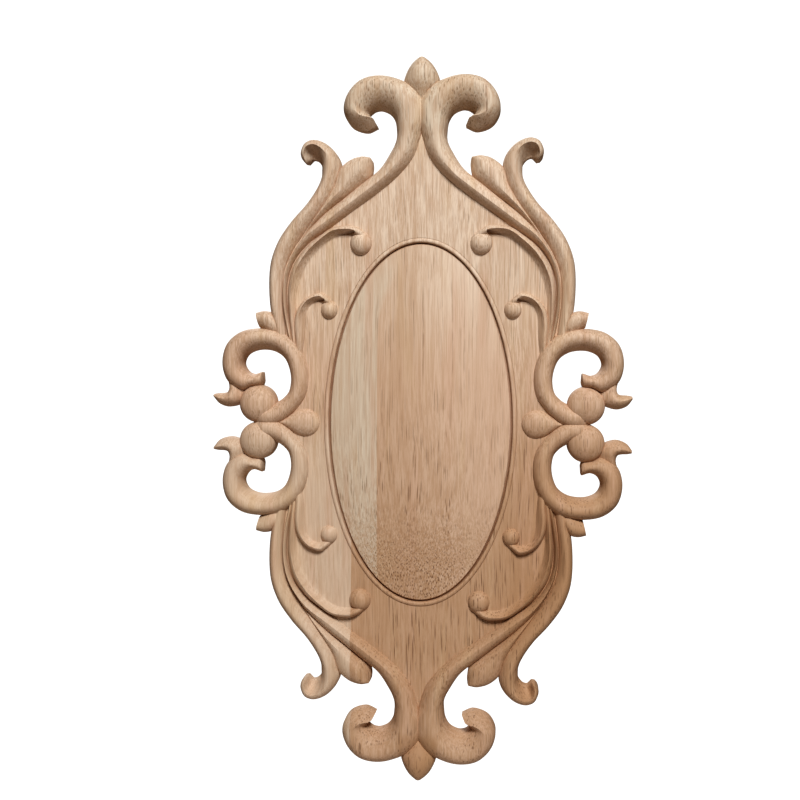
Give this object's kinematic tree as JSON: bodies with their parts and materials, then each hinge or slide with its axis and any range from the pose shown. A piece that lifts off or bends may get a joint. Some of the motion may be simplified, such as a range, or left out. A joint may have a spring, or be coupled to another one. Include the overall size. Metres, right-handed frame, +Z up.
{
  "type": "carved wood applique",
  "caption": "Tall carved wooden applique with a plain domed oval in a frame of scrolls, leaves and rings, flat at the back to be glued or pinned to furniture, doors or walls.",
  "frame": {"origin": "middle of the flat back, where the applique is glued to its support", "axes": "+X to the viewer's right, +Y into the support, away from the carved front, +Z up along the length"},
  "size_m": [0.29, 0.0191, 0.4998],
  "materials": {
    "wood": "bare, fine sanded, open pored"
  },
  "bodies": {
    "root": {"carved_applique": "wood"}
  },
  "joints": []
}
